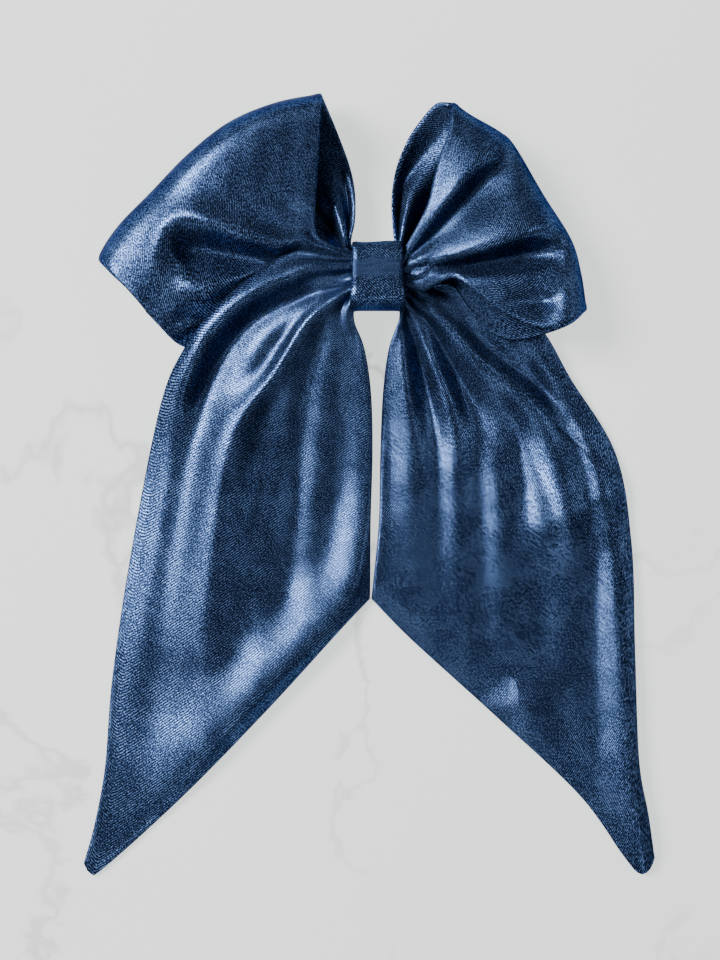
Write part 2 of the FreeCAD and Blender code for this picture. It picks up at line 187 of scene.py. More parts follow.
def cloth(name, middle, flat, material, thick=CLOTH, ring=False):
    """A closed double layer about a grid of world points. flat is each point's place on the cut cloth, in mm.

    The rim is round, because the thickness shrinks to nothing at the edges.
    A ring's last row joins its first.
    """
    # The raised line near the edge: its place and width in rims, and its height as a share of the thickness.
    seam_in, seam_half, seam_bulge = 2.2, 1.3, 0.35
    wide = np.vstack([middle[-1:], middle, middle[:1]]) if ring else middle
    along = np.gradient(wide, axis=0)[1:-1] if ring else np.gradient(wide, axis=0)
    normal = np.cross(along, np.gradient(middle, axis=1))
    normal /= np.linalg.norm(normal, axis=-1, keepdims=True) + 1e-12
    inset = edge_distance(middle, ring) / (RIM * MM)
    half = 0.5 * thick * MM * np.sqrt(1 - (1 - np.clip(inset, 0, 1)) ** 2)
    seam = 1 + seam_bulge * np.exp(-(((inset - seam_in) / seam_half) ** 2))
    lift = normal * (half * seam)[..., None]
    rows, columns = middle.shape[:2]
    front = np.arange(rows * columns).reshape(rows, columns)
    back = front + rows * columns
    on_rim = inset <= 0
    back[on_rim] = front[on_rim]
    points = np.concatenate([(middle + lift).reshape(-1, 3), (middle - lift).reshape(-1, 3)])
    uv = flat.reshape(-1, 2) * MM * UV_SCALE
    uv = np.concatenate([uv, uv])
    faces, uvs = [], []
    for i in range(rows if ring else rows - 1):
        j = (i + 1) % rows
        for k in range(columns - 1):
            a, b, c, d = (i, k), (j, k), (j, k + 1), (i, k + 1)
            for layer, order in ((front, (a, b, c, d)), (back, (d, c, b, a))):
                face = [int(layer[corner]) for corner in order]
                faces.append(face)
                uvs.extend(uv[index] for index in face)
    piece = mesh_object(name, points, faces, uvs, material)
    drop_unused(piece)
    return piece


def edge_distance(middle, ring):
    """How far each grid point is from the nearest edge of the sheet, in metres, along the grid."""
    across = np.linalg.norm(np.diff(middle, axis=1), axis=-1)
    low = np.concatenate([np.zeros((len(middle), 1)), np.cumsum(across, axis=1)], axis=1)
    distance = np.minimum(low, low[:, -1:] - low)
    if not ring:
        along = np.linalg.norm(np.diff(middle, axis=0), axis=-1)
        low = np.concatenate([np.zeros((1, middle.shape[1])), np.cumsum(along, axis=0)], axis=0)
        distance = np.minimum(distance, np.minimum(low, low[-1:] - low))
    return distance


def drop_unused(piece):
    """Removes the points that the two layers no longer need where they share a rim."""
    cut = bmesh.new()
    cut.from_mesh(piece.data)
    bmesh.ops.delete(cut, geom=[v for v in cut.verts if not v.link_faces], context="VERTS")
    bmesh.ops.recalc_face_normals(cut, faces=cut.faces)
    cut.to_mesh(piece.data)
    cut.free()


# --- materials -------------------------------------------------------------------------------------
class Nodes:
    """A short way to write a material's node tree."""

    def __init__(self, name):
        self.material = bpy.data.materials.new(name)
        self.material.use_nodes = True
        self.tree = self.material.node_tree
        self.shader = self.tree.nodes["Principled BSDF"]

    def add(self, kind, settings=None, **inputs):
        node = self.tree.nodes.new(kind)
        for key, value in (settings or {}).items():
            setattr(node, key, value)
        for key, value in inputs.items():
            self.put(node.inputs[key.replace("_", " ")], value)
        return node

    def put(self, socket, value):
        if isinstance(value, bpy.types.NodeSocket):
            self.tree.links.new(value, socket)
        else:
            socket.default_value = value

    def math(self, operation, *values):
        node = self.tree.nodes.new("ShaderNodeMath")
        node.operation = operation
        for socket, value in zip(node.inputs, values):
            self.put(socket, value)
        return node.outputs[0]

    def ramp(self, factor, stops):
        node = self.tree.nodes.new("ShaderNodeValToRGB")
        self.put(node.inputs[0], factor)
        elements = node.color_ramp.elements
        while len(elements) < len(stops):
            elements.new(0.5)
        for element, (position, color) in zip(elements, stops):
            element.position = position
            element.color = (*color, 1.0)
        return node.outputs[0]

    def set(self, **values):
        for key, value in values.items():
            self.put(self.shader.inputs[key.replace("_", " ")], value)


def satin():
    """Navy satin: a dark ground, a blue gloss that breaks up into grains, and fine diagonal ribs."""
    n = Nodes("satin")
    flat = n.add("ShaderNodeUVMap", {"uv_map": "flat"}).outputs[0]
    turned = n.add("ShaderNodeMapping", Vector=flat, Rotation=(0, 0, math.radians(-45))).outputs[0]
    rib_pitch = 0.76 * MM * UV_SCALE
    rib_warp = n.add("ShaderNodeTexNoise", Vector=flat, Scale=70.0, Detail=2.0).outputs[0]
    across = n.add("ShaderNodeSeparateXYZ", Vector=turned).outputs[0]
    bent = n.math("ADD", across, n.math("MULTIPLY", rib_warp, 0.7 * rib_pitch))
    rib = n.math("SINE", n.math("MULTIPLY", bent, 2 * math.pi / rib_pitch))
    stretched = n.add("ShaderNodeMapping", Vector=turned, Scale=(240.0, 150.0, 1.0)).outputs[0]
    fleck = n.add("ShaderNodeTexNoise", Vector=stretched, Scale=1.0, Detail=2.0, Roughness=0.7).outputs[0]
    slub = n.add("ShaderNodeTexNoise", Vector=flat, Scale=9.0, Detail=4.0, Roughness=0.6).outputs[0]
    rib_patch = n.add("ShaderNodeMapRange", Value=slub, From_Min=0.4, From_Max=0.6, To_Min=0.05, To_Max=0.13)
    grain = n.math("ADD", fleck, n.math("MULTIPLY", rib, rib_patch.outputs[0]))
    ground, dull = (0.003, 0.005, 0.013), (0.009, 0.015, 0.038)
    blue, fleck_blue = (0.038, 0.07, 0.18), (0.2, 0.34, 0.7)
    gloss = n.ramp(grain, [(0.38, ground), (0.48, dull), (0.57, blue), (0.68, fleck_blue)])
    shade = n.add("ShaderNodeMapRange", Value=slub, From_Min=0.3, From_Max=0.7, To_Min=0.85, To_Max=1.15)
    scaled = {"operation": "SCALE"}
    color = n.add("ShaderNodeVectorMath", scaled, Vector=gloss, Scale=shade.outputs[0]).outputs[0]
    rough = n.add("ShaderNodeMapRange", Value=grain, From_Min=0.35, From_Max=0.65, To_Min=0.4, To_Max=0.35)
    bump = n.add("ShaderNodeBump", Strength=0.6, Distance=0.00011, Height=grain).outputs[0]
    tangent = n.add("ShaderNodeTangent", {"direction_type": "UV_MAP", "uv_map": "flat"}).outputs[0]
    n.set(Base_Color=color, Roughness=rough.outputs[0], Normal=bump, Tangent=tangent, Metallic=0.85)
    n.set(Specular_IOR_Level=0.0, Specular_Tint=(0.1, 0.14, 0.3, 1.0), Anisotropic=0.3)
    return n.material


def thread_material():
    """Twisted navy sewing thread."""
    n = Nodes("thread")
    place = n.add("ShaderNodeTexCoord").outputs["Object"]
    diagonal = {"bands_direction": "DIAGONAL"}
    twist = n.add("ShaderNodeTexWave", diagonal, Vector=place, Scale=900.0, Distortion=1.0)
    color = n.ramp(twist.outputs[1], [(0.2, (0.006, 0.01, 0.035)), (0.8, (0.03, 0.045, 0.11))])
    bump = n.add("ShaderNodeBump", Strength=0.6, Distance=0.0001, Height=twist.outputs[1]).outputs[0]
    n.set(Base_Color=color, Roughness=0.6, Normal=bump, Sheen_Weight=0.3)
    return n.material


def felt_material():
    """Matted navy fibres."""
    n = Nodes("felt")
    place = n.add("ShaderNodeTexCoord").outputs["Object"]
    fibre = n.add("ShaderNodeTexNoise", Vector=place, Scale=2600.0, Detail=5.0, Roughness=0.75).outputs[0]
    color = n.ramp(fibre, [(0.3, (0.008, 0.013, 0.04)), (0.75, (0.04, 0.055, 0.12))])
    bump = n.add("ShaderNodeBump", Strength=0.9, Distance=0.0003, Height=fibre).outputs[0]
    n.set(Base_Color=color, Roughness=0.95, Normal=bump, Sheen_Weight=0.6, Sheen_Roughness=0.6)
    return n.material


def plated(name, bright, dull, roughness, stretch):
    """Plated or brushed steel, with fine lines along x and faint handling marks."""
    n = Nodes(name)
    place = n.add("ShaderNodeTexCoord").outputs["Object"]
    lines = n.add("ShaderNodeMapping", Vector=place, Scale=stretch).outputs[0]
    grain = n.add("ShaderNodeTexNoise", Vector=lines, Scale=1.0, Detail=4.0, Roughness=0.6).outputs[0]
    marks = n.add("ShaderNodeTexNoise", Vector=place, Scale=420.0, Detail=6.0, Roughness=0.7).outputs[0]
    color = n.ramp(marks, [(0.3, dull), (0.62, bright)])
    low, high = roughness
    mixed = n.math("ADD", n.math("MULTIPLY", grain, 0.6), n.math("MULTIPLY", marks, 0.4))
    rough = n.add("ShaderNodeMapRange", Value=mixed, From_Min=0.3, From_Max=0.7, To_Min=low, To_Max=high)
    bump = n.add("ShaderNodeBump", Strength=0.12, Distance=0.00005, Height=grain).outputs[0]
    n.set(Base_Color=color, Metallic=1.0, Roughness=rough.outputs[0], Normal=bump)
    return n.material


# --- the tails -------------------------------------------------------------------------------------
def tail(name, node, edge_low, edge_high, root, hem, lengths, depth_of, material):
    """One double sheet from the knot to its slanted end. lengths are cut lengths along the two long edges."""
    u, v = stations(max(lengths), 1.35), stations(STRIP, 1.2)
    plane = patch(edge_low, edge_high, root, hem, u, v)
    depth = depth_of(plane, u[:, None], v[None])
    along = u[:, None] * (lengths[0] + (lengths[1] - lengths[0]) * v[None])
    across = (v if node == "left_tail" else 1 - v) * STRIP
    flat = np.stack([along, np.broadcast_to(across, along.shape)], axis=-1)
    piece = cloth(name, placed(plane, depth), flat, material)
    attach(piece, "bow")
    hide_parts(node)


def left_tail(material):
    outer = [(-8.5, 6.2), (-18, 7.3), (-31, 8.9), (-40.6, 3.7), (-58, -10.2), (-71.7, -27.4), (-80.9, -50)]
    outer += [(-91.8, -105.6), (-98.4, -150), (-101, -182), (-105, -204), (-108.9, -218)]
    inner = [(-8.3, -9.5), (-8.6, -17), (-4.9, -27), (-2.4, -43.3), (-1.8, -66), (-2.6, -92), (-2.8, -120)]
    root = [(-8.5, 6.2), (-8.2, -1.5), (-8.3, -9.5)]
    hem = [(-108.9, -218), (-106.6, -221.6), (-102, -220.3), (-73.7, -194.7), (-41.7, -161.8), (-13.5, -131),
           (-2.8, -120)]

    def depth(plane, u, v):
        z = plane[..., 1]
        base = level([(-240, 1.4), (-150, 1.4), (-105, 1.8), (-78, 4), (-50, 9.5), (-28, 15.5), (-8, 19.5),
                      (14, 20)], z)
        waves = pleats(u, v, 4.5, [(-0.1, 1), (0, 1), (0.05, 0.8), (0.15, 0), (1, 0)])
        hem_side = level([(0, 0.15), (4, 0.5), (10, 0.9), (16, 1), (24, 1)], beside(plane, hem))
        inside = hem_side * folds(plane, LEFT_TAIL_FOLDS, LEFT_TAIL_CRESTS)
        return np.maximum(base + waves + inside + folds(plane, LEFT_TAIL_HEM), LOWEST)

    tail("left_tail_cloth", "left_tail", outer, inner, root, hem, (262, 132), depth, material)


LEFT_TAIL_FOLDS = [
    # the roll along the upper edge
    [(-11, 2.5, 1, 2.5, 3), (-24, 2.5, 3.6, 4, 5), (-38, -2, 5, 4, 5), (-52, -10, 5.6, 4.5, 5),
     (-62, -20, 5.4, 5, 5),
     (-69, -32, 5, 5, 5), (-74, -45, 3.4, 6, 7), (-79, -60, 1, 8, 9), (-83, -75, 0, 8, 9)],
    # the hollow under it
    [(-12, -3, -1, 2, 2), (-28, -8.5, -2.6, 3, 3), (-45, -17, -3.6, 5, 4), (-57, -30, -3.6, 7, 6),
     (-64, -43, -2, 7, 6), (-66, -52, 0, 7, 6)],
    # the gentle rise towards the inner edge
    [(-8, -16, 0, 4, 8), (-6, -30, 0.5, 4, 14), (-6, -50, 0.5, 4, 18), (-7, -72, 0.3, 4, 18),
     (-8, -92, 0, 4, 16)],
]
LEFT_TAIL_CRESTS = [
    # the long ridge, steep on its inner side near the knot and wide further down
    [(-11, -4.5, 1, 2, 2), (-20, -12, 3, 3, 2.5), (-27, -18.5, 4, 4.5, 2.4), (-32.5, -27, 5, 5.5, 2.8),
     (-39, -38, 6, 6, 3.8),
     (-46, -47.5, 7.2, 7, 5.6), (-51, -56, 8.2, 9, 9.5), (-55, -67, 9, 12, 14), (-58, -83, 9.6, 17, 18),
     (-60, -102, 9.8, 19, 20),
     (-62, -122, 9, 17, 22), (-64, -138, 6.6, 13, 22), (-65, -150, 3.6, 11, 20), (-66, -162, 1, 10, 18),
     (-67, -172, 0, 10, 16)],
]
LEFT_TAIL_HEM = [
    # the crest just inside the inner edge and the hem
    [(-3, -72, 0, 2, 6), (-4.5, -86, 1.6, 3, 10), (-6.5, -100, 3.6, 4, 12), (-10, -116, 6, 5, 14),
     (-19, -130, 8, 6, 16),
     (-33, -144, 9, 6, 17), (-48, -159, 9, 6, 17), (-63, -175, 7, 6, 17), (-75, -187, 3.4, 6, 15),
     (-86, -198, 0, 5, 12)],
]


def right_tail(material):
    outer = [(8.6, 0.8), (22, 1), (42, -5), (60, -19), (71.9, -38.9), (88.3, -66.3), (94.2, -100),
             (95.4, -137.7)]
    outer += [(96.9, -179.4), (100.4, -200), (102.6, -215.6)]
    inner = [(8.4, -9.5), (7.9, -16.6), (4.2, -27), (2, -43.3), (1, -66.3), (0.4, -92), (-2.3, -120)]
    root = [(8.6, 0.8), (8.4, -4), (8.4, -9.5)]
    hem = [(102.6, -215.6), (101, -220), (97.2, -222), (91, -215), (75, -193), (46.3, -165.8),
           (12.6, -135.2), (-2.3, -120)]

    def depth(plane, u, v):
        z = plane[..., 1]
        base = level([(-240, 1.4), (-120, 2.4), (-75, 2.6), (-50, 3.4), (-28, 6.5), (-10, 10), (10, 11)], z)
        away = beside(plane, outer[5:])  # from the outer edge below the loop
        rim = level([(0, 4.6), (3, 5.4), (6, 4.6), (10, 3), (15, 1.3), (22, 0.2), (30, 0)], away)
        rim_share = [(-240, 0.5), (-205, 0.8), (-185, 0.85), (-150, 0.75), (-120, 0.4), (-95, 0.15),
                     (-75, 0), (-40, 0)]
        rim = rim * level(rim_share, z)
        fall = level([(0, 0.6), (3, 0.9), (6, 1), (22, 1)], beside(plane, hem))
        waves = pleats(u, v, 5, [(-0.1, 1), (0, 1), (0.05, 0.8), (0.15, 0), (1, 0)])
        inside = base + rim + folds(plane, RIGHT_TAIL_FOLDS, RIGHT_TAIL_CRESTS)
        return np.maximum(inside * fall + waves, LOWEST)

    tail("right_tail_cloth", "right_tail", outer, inner, root, hem, (250, 130), depth, material)


RIGHT_TAIL_FOLDS = [
    # the crease beside the inner ridge
    [(11, -13, -1.2, 2, 2), (14.5, -27, -3.4, 2.5, 2.5), (18, -40, -3, 3.5, 3.5), (21.5, -54, -1.2, 5, 5),
     (25, -70, 0, 6, 6)],
    # the soft ridge between the creases
    [(14, -20, 0.6, 1.5, 1.5), (19, -31, 1.6, 2.5, 2.5), (25, -43, 2.2, 3.5, 4), (31, -57, 1.3, 5, 6),
     (37, -72, 0.3, 7, 8), (42, -86, 0, 8, 8)],
    # the second crease
    [(18, -16, -1, 2, 2), (25, -28, -3, 3, 3), (32, -40, -3.8, 4, 4), (38, -52, -3.2, 5, 5),
     (44, -66, -1.2, 6, 6), (49, -78, 0, 6, 6)],
    # the broad ridge that comes out from under the loop
    [(12, -4, 1, 2, 2), (25, -18, 3, 3, 4), (36, -30, 4, 4, 6), (46, -40, 4, 5, 7), (58, -48, 3, 5, 8),
     (70, -56, 0, 6, 8)],
    # the hollow along the loop's lower edge
    [(34, -20, -1.5, 4, 4), (48, -32, -3.4, 4, 4), (60, -42, -3.4, 5, 4), (70, -50, -2, 5, 5),
     (78, -58, 0, 5, 5)],
]
RIGHT_TAIL_CRESTS = [
    # the ridge along the inner edge
    [(8.5, -14, 1, 1.5, 3), (9.2, -30, 2.8, 2.5, 6), (10.8, -45, 2.6, 3, 8), (13.5, -60, 1.4, 4, 9),
     (17, -75, 0.5, 6, 9), (21, -90, 0, 8, 9)],
    # the swell whose upper left side catches the light
    [(95, -68, 0, 8, 12), (89, -77, 3.4, 8, 16), (80, -84, 6.4, 9, 20), (69, -90, 6.6, 10, 22),
     (60, -93, 3, 10, 18), (51, -94, 0, 9, 12)],
    # the small swell before the hem
    [(62, -142, 0, 5, 6), (61, -153, 1.8, 6, 10), (54, -160, 2.6, 6, 12), (46, -160, 1.4, 6, 10),
     (38, -157, 0, 6, 8)],
]


# --- the loops -------------------------------------------------------------------------------------
FOLD_END = 8  # how close to the outer fold a loop's folds run, as a power for swell


def loop(name, node, reach, front_edges, back_edges, roots, rim, front_depth, back_depth, material):
    """One sheet that leaves the knot in front, folds at the rim and comes back behind.

    reach is the length of cloth from the knot to the outer fold. front_edges and back_edges are each the
    upper and the lower edge, from the knot to the rim.
    """
    k, v = stations(reach, 1.3)[:-4], stations(STRIP, 1.0)
    k = k / k[-1]
    u = np.sin(k * math.pi / 2)
    sides = []
    for edges, root, depth_of in ((front_edges, roots[0], front_depth), (back_edges, roots[1], back_depth)):
        plane = patch(*edges, root, rim, u, v)
        sides.append(placed(plane, depth_of(plane, u[:, None], v[None])))
    front, back = sides
    middle = np.concatenate([front, back[-2::-1]])
    along = np.concatenate([k, 2 - k[-2::-1]]) * reach
    flat = np.stack(np.broadcast_arrays(along[:, None], v[None] * STRIP), axis=-1)
    piece = cloth(name, middle, flat, material)
    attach(piece, "bow")
    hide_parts(node)


def pleats(u, v, count, heights):
    """Creases that run out from the knot. heights are pairs of how far out, and how high."""
    return level(heights, u) * np.cos(2 * math.pi * count * (v + 0.03 * np.sin(9 * v)))


def swell(u, power=36):
    """1 over most of the loop, falling to 0 at the outer fold with a round end."""
    return np.sqrt(np.clip(1 - u**power, 0, 1))


def clear_of_barrette(plane, depth):
    """Depths for cloth that passes in front of the barrette's base, raised to stay clear of it."""
    margin, fall_off, softness = 1, 1.2, 0.6
    low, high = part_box("barrette_base")
    front = BACK_Y - low[1] / MM + CLOTH
    past_end = np.maximum(0, np.abs(plane[..., 0]) - high[0] / MM - margin)
    past_side = np.maximum(0, np.abs(plane[..., 1]) - high[2] / MM - margin)
    return soft_max(depth, front - fall_off * (past_end + past_side), softness)


def left_loop(material):
    rim = [(-20.6, 66.7), (-38, 63.2), (-55, 56), (-70.2, 44.1), (-83.5, 30.4), (-95.7, 17.8), (-102.4, 7.5),
           (-101.6, 4)]
    front_top = [(-8.6, 8.6), (-15, 10.4), (-22, 14.5), (-23.1, 24), (-22.2, 37), (-21.4, 52), (-20.6, 66.7)]
    front_low = [(-8.5, -5), (-30, -13), (-55, -23), (-71, -26.8), (-82, -17.8), (-90.2, -8.1), (-101.6, 4)]
    back_top = [(-8.2, 9.5), (-10.4, 12.2), (-8.4, 20.7), (-8.3, 30.4), (-10.2, 40), (-14.6, 52.2),
                (-20.6, 66.7)]
    back_low = [(-8.5, -4), (-34, -10), (-58, -18), (-72, -23), (-82, -15.5), (-90.2, -6.5), (-101.6, 4)]
    roots = ([(-8.6, 8.6), (-8.4, 2), (-8.5, -5)], [(-8.2, 9.5), (-8.4, 3), (-8.5, -4)])

    def middle_depth(v):
        return level([(0, 13.5), (0.2, 14.5), (0.4, 14.5), (0.7, 11), (1, 6.5)], v)

    def front(plane, u, v):
        # The tail lies over the loop, so the loop stays low under it and rises beyond the tail's upper edge.
        x, z = plane[..., 0], plane[..., 1]
        edge_x, edge_z = -31, 8.9
        past_tail = np.maximum(0, 0.75 * (z - edge_z) - 0.67 * (x - edge_x))
        under_tail = level([(-60, 2), (-30, 8), (-12, 12), (0, 14.5), (8, 17.5), (14, 25), (24, 36),
                            (70, 42)], z)
        cover = under_tail + 1.4 * past_tail
        rise = level([(-0.1, 2.5), (0, 3), (0.12, 5.5), (0.3, 8), (0.5, 11), (0.75, 15.5), (1, 20)], u)
        open_side = 1 + 0.1 * np.cos(math.pi * v)
        depth = middle_depth(v) + rise * open_side * swell(u)
        depth = depth + folds(plane, LEFT_LOOP_FOLDS, LEFT_LOOP_CRESTS) * swell(u, FOLD_END)
        depth = depth + pleats(u, v, 4.5, [(-0.1, 1.0), (0, 1.0), (0.12, 0.9), (0.3, 0.3), (0.5, 0), (1, 0)])
        return -soft_max(-depth, -cover, 1.5)

    def back(plane, u, v):
        fall = level([(-0.1, 3.5), (0, 3), (0.25, 3.4), (0.6, 5), (1, 3.5)], u)
        depth = middle_depth(v) - fall * swell(u) - 2.0 * np.sin(math.pi * v) * swell(u) * u
        depth = depth + folds(plane, LEFT_LOOP_BACK_FOLDS) * swell(u, FOLD_END)
        depth = depth + pleats(u, v, 5, [(-0.1, 1.6), (0, 1.6), (0.2, 2.2), (0.45, 1.6), (0.7, 0.3), (1, 0)])
        return clear_of_barrette(plane, np.maximum(depth, LOOP_LOWEST))

    fronts, backs = (front_top, front_low), (back_top, back_low)
    loop("left_loop_cloth", "left_loop", 80.0, fronts, backs, roots, rim, front, back, material)


LEFT_LOOP_FOLDS = [
    # the large hollow
    [(-28, 3, -2.4, 3, 3), (-46, 6.5, -6.6, 6, 4), (-60, 9, -8, 7, 5), (-70, 9, -6, 7, 6), (-76, 7, 0, 7, 6)],
    # the band below it
    [(-38, -5, 1, 3, 5), (-56, -6.5, 3.4, 3.5, 7), (-70, -6.5, 3, 4, 7), (-79, -8, 0, 5, 6)],
    # the lower pocket
    [(-52, -15, -1.5, 4, 4), (-64, -16, -5, 5, 4), (-72, -16, -4, 6, 4), (-77, -14, 0, 5, 4)],
    # the crease from the foot of the open edge
    [(-15, 9.5, -1, 2, 2), (-24, 16.5, -2, 6, 3), (-34, 24, -1.6, 9, 5), (-46, 32, -0.6, 11, 7),
     (-56, 38, 0, 10, 8)],
    # the faint swell above it
    [(-32, 38, 0, 6, 7), (-42, 45, 0.4, 9, 8), (-54, 45, 0.4, 9, 8), (-64, 40, 0, 8, 8)],
    # the ridge along the open edge
    [(-20, 14, 0, 2, 2), (-24.5, 28, 0.8, 4, 3), (-24.5, 44, 0.8, 6, 3), (-24, 56, 0.4, 6, 4),
     (-24, 62, 0, 5, 5)],
]
LEFT_LOOP_CRESTS = [
    # the arched ridge round the large hollow
    [(-22, 8.5, 1, 2.5, 3), (-36, 10.5, 3.4, 3, 5), (-50, 14.5, 5.6, 3.5, 7), (-62, 19, 6.6, 4, 8),
     (-72, 21.5, 6, 5, 7),
     (-79, 17.5, 5.4, 6, 6), (-82.5, 8, 5, 7, 7), (-84, -4, 3.4, 7, 7), (-83, -14, 0, 6, 5)],
]

LEFT_LOOP_BACK_FOLDS = [
    # a ridge along the open edge, a hollow across the upper half and a ridge below it
    [(-12, 14, 2, 3, 3), (-14, 28, 3, 4, 4), (-18, 42, 2, 5, 5), (-24, 54, 0, 5, 5)],
    [(-18, 8, -2, 4, 4), (-40, 20, -2.4, 6, 6), (-66, 30, -1, 8, 8), (-80, 32, 0, 8, 8)],
    [(-20, -2, 1.5, 4, 4), (-48, 2, 2.4, 6, 6), (-76, 6, 0, 8, 8)],
]


def right_loop(material):
    rim = [(27.6, 63.6), (34.3, 58.8), (45, 52.6), (50.4, 47.4), (60.9, 29.6), (71.3, 12.8), (75, 0),
           (77, -13.5)]
    front_top = [(8.6, 7.5), (12.6, 14.5), (18.6, 26.5), (20.8, 36), (23.4, 45), (26.6, 54), (27.6, 63.6)]
    front_low = [(8.5, -4.6), (16.5, -6.4), (23, -3.1), (29, -1.2), (36, -6.4), (46, -13.6), (60, -19.8),
                 (70, -18.6), (77, -13.5)]
    back_top = [(8, 8), (6.2, 15.5), (5.3, 27), (6.6, 38.5), (10.9, 49.6), (16.5, 58), (22, 63.6),
                (27.6, 63.6)]
    back_low = [(8.5, -6), (18, -5), (27.6, -5), (33.5, -13.3), (43, -22), (52, -24.2), (63.5, -21.5),
                (72, -18), (77, -13.5)]
    roots = ([(8.6, 7.5), (8.4, 1.5), (8.5, -4.6)], [(8, 8), (8.3, 1.5), (8.5, -6)])

    def middle_depth(v):
        return level([(0, 18), (0.35, 18), (0.7, 16.5), (1, 14.5)], v)

    def front(plane, u, v):
        rise = level([(-0.1, 1.5), (0, 2), (0.15, 4.5), (0.35, 7), (0.6, 8), (0.8, 7.4), (1, 6)], u)
        depth = middle_depth(v) + rise * swell(u)
        depth = depth + folds(plane, RIGHT_LOOP_FOLDS, RIGHT_LOOP_CRESTS) * swell(u, FOLD_END)
        return depth + pleats(u, v, 4.5, [(-0.1, 0.35), (0, 0.35), (0.12, 0.2), (0.3, 0), (1, 0)])

    def back(plane, u, v):
        fall = level([(-0.1, 3.5), (0, 3.5), (0.3, 6), (0.6, 8), (1, 4)], u)
        depth = middle_depth(v) - fall * swell(u) - 1.2 * np.sin(math.pi * v) * swell(u) * u
        depth = depth + folds(plane, RIGHT_LOOP_BACK_FOLDS) * swell(u, FOLD_END)
        pleat_heights = [(-0.1, 1.7), (0, 1.7), (0.2, 3.2), (0.5, 3), (0.75, 1), (1, 0)]
        depth = depth + pleats(u, v, 5, pleat_heights) * swell(u, 6)
        floor = level([(-60, 2), (-25, 9.6), (-12, 13), (0, 13), (9, 11), (18, 7), (40, 5), (90, 4)],
                      plane[..., 1])
        return soft_max(depth, floor, 1.0)

    fronts, backs = (front_top, front_low), (back_top, back_low)
    loop("right_loop_cloth", "right_loop", 66.0, fronts, backs, roots, rim, front, back, material)


RIGHT_LOOP_FOLDS = [
    # the deep crease below the open edge's facet
    [(12, 7.5, -1.2, 1.5, 2), (24, 18, -3, 3, 6), (36, 31, -4, 4, 9), (46, 39, -2.4, 5, 10),
     (53, 43, 0, 6, 9)],
    # the hollow under the middle ridge
    [(13, 3.2, -1, 1, 1), (28, 4, -3.4, 2, 3), (42, 6, -5.6, 3.5, 6), (56, 8, -6.4, 4.5, 7),
     (66, 9, -3, 5, 6), (71, 9, 0, 5, 5)],
    # the pleat's crisp upper edge
    [(9, 3, 0.6, 1.8, 3), (22, 1.2, 1.8, 1.8, 6), (34, -0.8, 3, 2, 8), (48, -0.6, 3.4, 2.2, 9),
     (60, 0.8, 2, 2.6, 8), (68, 3, 0, 2, 6)],
    # the hollow inside the lower corner
    [(46, -7, 0, 4, 4), (56, -9, -2.6, 5, 4), (63, -9, -3, 5, 4), (66, -4, 0, 4, 4)],
]
RIGHT_LOOP_CRESTS = [
    # the facet along the open edge, which ends in a crest
    [(11, 8.5, 1, 2, 1.5), (19, 19, 3.6, 6, 2.5), (27, 29, 5.6, 9, 3), (36, 40, 6.4, 12, 3.5),
     (43, 47, 5, 11, 4), (49, 51, 0, 8, 4)],
    # the broad middle ridge, steep below
    [(11, 4.6, 1.2, 2, 1), (26, 5.6, 3.8, 7, 2), (39, 9.6, 6.4, 13, 3), (52, 14.4, 8, 17, 4),
     (62, 18, 7, 16, 5), (70, 22, 2, 12, 5), (74, 24, 0, 9, 5)],
    # the raised rim at the lower corner
    [(74, 12, 0, 5, 3), (76, 2, 3.4, 3, 9), (76, -8, 5.4, 3, 10), (71, -16.5, 5.4, 3, 10),
     (61, -19.5, 2.4, 3, 7), (50, -16.5, 0.5, 3, 3)],
]

RIGHT_LOOP_BACK_FOLDS = [
    [(8, 12, 1, 2, 2), (9, 26, 2.4, 3, 3), (12, 40, 2.4, 4, 4), (18, 54, 1, 5, 5)],
    [(20, 14, -1, 4, 4), (38, 26, -1.6, 6, 6), (56, 34, 0, 8, 8)],
    [(24, -2, 1, 4, 4), (46, -2, 1.6, 6, 6), (66, 2, 0, 8, 8)],
]


